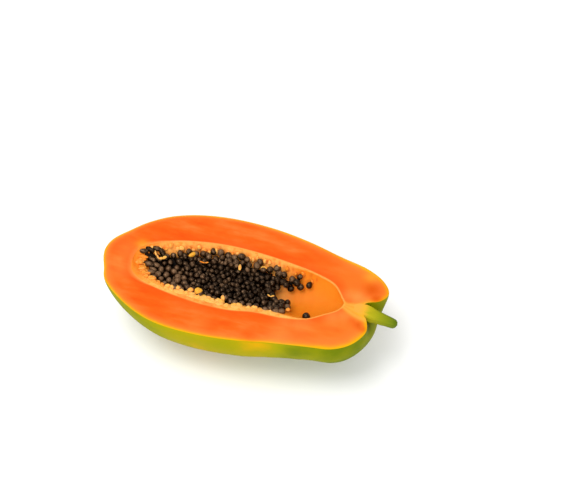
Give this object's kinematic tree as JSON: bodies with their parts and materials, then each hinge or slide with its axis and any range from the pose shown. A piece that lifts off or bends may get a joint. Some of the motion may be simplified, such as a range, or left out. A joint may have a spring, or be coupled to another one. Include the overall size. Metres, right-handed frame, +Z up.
{
  "type": "halved papaya",
  "caption": "Ripe papaya cut in half lengthwise and lying on its round back, cut face up: orange flesh in thin skin, dark seeds heaped in the open cavity, and a short stem.",
  "frame": {"origin": "middle of the small flat spot that the half fruit rests on", "axes": "+X along the fruit from its blossom end to its stem, +Z up and square to the cut face"},
  "size_m": [0.2428, 0.1181, 0.062],
  "materials": {
    "fruit": "satin",
    "seeds": "satin",
    "stem": "matte"
  },
  "bodies": {
    "root": {"fruit_half": "fruit", "seed_mass": "seeds", "stray_seed": "seeds", "stem": "stem"}
  },
  "joints": []
}
